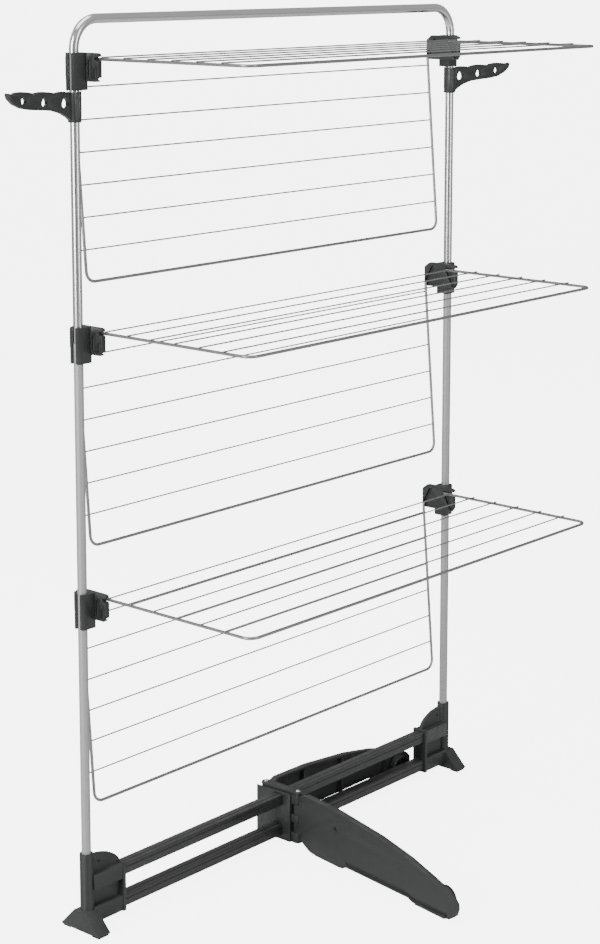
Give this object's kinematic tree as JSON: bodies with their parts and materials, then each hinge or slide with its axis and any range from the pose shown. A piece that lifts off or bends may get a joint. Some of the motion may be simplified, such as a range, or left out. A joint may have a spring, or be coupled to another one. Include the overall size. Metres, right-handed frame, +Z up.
{
  "type": "tower clothes airer",
  "caption": "Free-standing tower clothes airer: inverted-U steel tube frame, fold-out wire shelves at front and rear, swivelling hanger arms, and fold-out legs with rollers under a railed base.",
  "frame": {"origin": "on the floor under the middle of the whole object's bounding box; the posts stand 0.227 m behind it", "axes": "+Z up, +X along the base rails to the right seen from the front, +Y to the rear, so the open shelves reach towards -Y"},
  "size_m": [1.4327, 0.5732, 1.72],
  "materials": {
    "tube_upper": "silver-grey bright coated tube",
    "tube_lower": "satin silver-grey coating",
    "wire": "grey coated welded wire",
    "clip": "anthracite moulded, fine grain",
    "hanger": "anthracite moulded, fine grain",
    "base": "anthracite moulded, fine grain",
    "rail": "anthracite extruded, satin",
    "leg": "anthracite moulded, satin",
    "wheel": "dark grey moulded roller",
    "bush": "dark self-lubricating plastic",
    "pad": "black non-slip",
    "fastener": "bright zinc-plated steel"
  },
  "bodies": {
    "frame": {"frame_hoop": "tube_upper", "post_lower_left": "tube_lower", "post_lower_right": "tube_lower", "post_joiner_left": "bush", "post_joiner_right": "bush", "bracket_upper_left": "clip", "bracket_upper_right": "clip", "bracket_middle_left": "clip", "bracket_middle_right": "clip", "bracket_lower_left": "clip", "bracket_lower_right": "clip", "bracket_screw_upper_left": "fastener", "bracket_screw_upper_right": "fastener", "bracket_screw_middle_left": "fastener", "bracket_screw_middle_right": "fastener", "bracket_screw_lower_left": "fastener", "bracket_screw_lower_right": "fastener", "foot_left": "base", "foot_right": "base", "foot_pad_left_front": "pad", "foot_pad_left_rear": "pad", "foot_pad_right_front": "pad", "foot_pad_right_rear": "pad", "rail_lower": "rail", "rail_upper": "rail", "hub_body": "base", "hub_cap": "base", "hinge_pin_front": "fastener", "hinge_pin_rear": "fastener"},
    "hanger_left": {"hanger_left": "hanger"},
    "hanger_right": {"hanger_right": "hanger"},
    "shelf_front_upper_carrier": {"shelf_front_upper_bush_left": "bush", "shelf_front_upper_bush_right": "bush"},
    "shelf_front_upper": {"shelf_front_upper_grid": "wire"},
    "shelf_front_middle_carrier": {"shelf_front_middle_bush_left": "bush", "shelf_front_middle_bush_right": "bush"},
    "shelf_front_middle": {"shelf_front_middle_grid": "wire"},
    "shelf_front_lower_carrier": {"shelf_front_lower_bush_left": "bush", "shelf_front_lower_bush_right": "bush"},
    "shelf_front_lower": {"shelf_front_lower_grid": "wire"},
    "shelf_rear_upper_carrier": {"shelf_rear_upper_bush_left": "bush", "shelf_rear_upper_bush_right": "bush"},
    "shelf_rear_upper": {"shelf_rear_upper_grid": "wire"},
    "shelf_rear_middle_carrier": {"shelf_rear_middle_bush_left": "bush", "shelf_rear_middle_bush_right": "bush"},
    "shelf_rear_middle": {"shelf_rear_middle_grid": "wire"},
    "shelf_rear_lower_carrier": {"shelf_rear_lower_bush_left": "bush", "shelf_rear_lower_bush_right": "bush"},
    "shelf_rear_lower": {"shelf_rear_lower_grid": "wire"},
    "leg_front": {"leg_front": "leg", "axle_front": "fastener", "leg_pad_front": "pad"},
    "leg_rear": {"leg_rear": "leg", "axle_rear": "fastener", "leg_pad_rear": "pad"},
    "wheel_front": {"wheel_front": "wheel"},
    "wheel_rear": {"wheel_rear": "wheel"}
  },
  "joints": [
    {"name": "hanger_left_swivel", "type": "hinge", "parent": "frame", "child": "hanger_left", "pos_m": [-0.55, 0.227, 1.555], "axis": [0, 0, 1], "range_deg": [-85, 80]},
    {"name": "hanger_right_swivel", "type": "hinge", "parent": "frame", "child": "hanger_right", "pos_m": [0.55, 0.227, 1.555], "axis": [0, 0, 1], "range_deg": [-70, 95]},
    {"name": "shelf_front_upper_drop", "type": "slide", "parent": "frame", "child": "shelf_front_upper_carrier", "axis": [0, -0.4692, -0.8831], "range_m": [0, 0.0364]},
    {"name": "shelf_front_upper_fold", "type": "hinge", "parent": "shelf_front_upper_carrier", "child": "shelf_front_upper", "pos_m": [0, 0.207, 1.64], "axis": [1, 0, 0], "range_deg": [0, 94.5]},
    {"name": "shelf_front_middle_drop", "type": "slide", "parent": "frame", "child": "shelf_front_middle_carrier", "axis": [0, -0.4692, -0.8831], "range_m": [0, 0.0364]},
    {"name": "shelf_front_middle_fold", "type": "hinge", "parent": "shelf_front_middle_carrier", "child": "shelf_front_middle", "pos_m": [0, 0.207, 1.145], "axis": [1, 0, 0], "range_deg": [0, 94.5]},
    {"name": "shelf_front_lower_drop", "type": "slide", "parent": "frame", "child": "shelf_front_lower_carrier", "axis": [0, -0.4692, -0.8831], "range_m": [0, 0.0364]},
    {"name": "shelf_front_lower_fold", "type": "hinge", "parent": "shelf_front_lower_carrier", "child": "shelf_front_lower", "pos_m": [0, 0.207, 0.646], "axis": [1, 0, 0], "range_deg": [0, 94.5]},
    {"name": "shelf_rear_upper_drop", "type": "slide", "parent": "frame", "child": "shelf_rear_upper_carrier", "axis": [0, -0.4692, 0.8831], "range_m": [0, 0.0364]},
    {"name": "shelf_rear_upper_fold", "type": "hinge", "parent": "shelf_rear_upper_carrier", "child": "shelf_rear_upper", "pos_m": [0, 0.264, 1.608], "axis": [1, 0, 0], "range_deg": [0, 94.5]},
    {"name": "shelf_rear_middle_drop", "type": "slide", "parent": "frame", "child": "shelf_rear_middle_carrier", "axis": [0, -0.4692, 0.8831], "range_m": [0, 0.0364]},
    {"name": "shelf_rear_middle_fold", "type": "hinge", "parent": "shelf_rear_middle_carrier", "child": "shelf_rear_middle", "pos_m": [0, 0.264, 1.113], "axis": [1, 0, 0], "range_deg": [0, 94.5]},
    {"name": "shelf_rear_lower_drop", "type": "slide", "parent": "frame", "child": "shelf_rear_lower_carrier", "axis": [0, -0.4692, 0.8831], "range_m": [0, 0.0364]},
    {"name": "shelf_rear_lower_fold", "type": "hinge", "parent": "shelf_rear_lower_carrier", "child": "shelf_rear_lower", "pos_m": [0, 0.264, 0.614], "axis": [1, 0, 0], "range_deg": [0, 94.5]},
    {"name": "leg_front_swing", "type": "hinge", "parent": "frame", "child": "leg_front", "pos_m": [0.003, 0.183, 0.06], "axis": [0, 0, 1], "range_deg": [0, 99]},
    {"name": "leg_rear_swing", "type": "hinge", "parent": "frame", "child": "leg_rear", "pos_m": [0.003, 0.271, 0.06], "axis": [0, 0, 1], "range_deg": [0, 99]},
    {"name": "wheel_front_spin", "type": "hinge", "parent": "leg_front", "child": "wheel_front", "pos_m": [-0.04703, -0.23836, 0.0285], "axis": [0.9877, -0.1564, 0], "continuous": true},
    {"name": "wheel_rear_spin", "type": "hinge", "parent": "leg_rear", "child": "wheel_rear", "pos_m": [0.427, 0.2545, 0.0285], "axis": [0, 1, 0], "continuous": true}
  ],
  "couplings": [
    {"joint": "shelf_front_upper_drop", "follows": "shelf_front_upper_fold", "m_per_rad": 0.02197},
    {"joint": "shelf_front_middle_drop", "follows": "shelf_front_middle_fold", "m_per_rad": 0.02197},
    {"joint": "shelf_front_lower_drop", "follows": "shelf_front_lower_fold", "m_per_rad": 0.02197},
    {"joint": "shelf_rear_upper_drop", "follows": "shelf_rear_upper_fold", "m_per_rad": 0.02197},
    {"joint": "shelf_rear_middle_drop", "follows": "shelf_rear_middle_fold", "m_per_rad": 0.02197},
    {"joint": "shelf_rear_lower_drop", "follows": "shelf_rear_lower_fold", "m_per_rad": 0.02197}
  ]
}
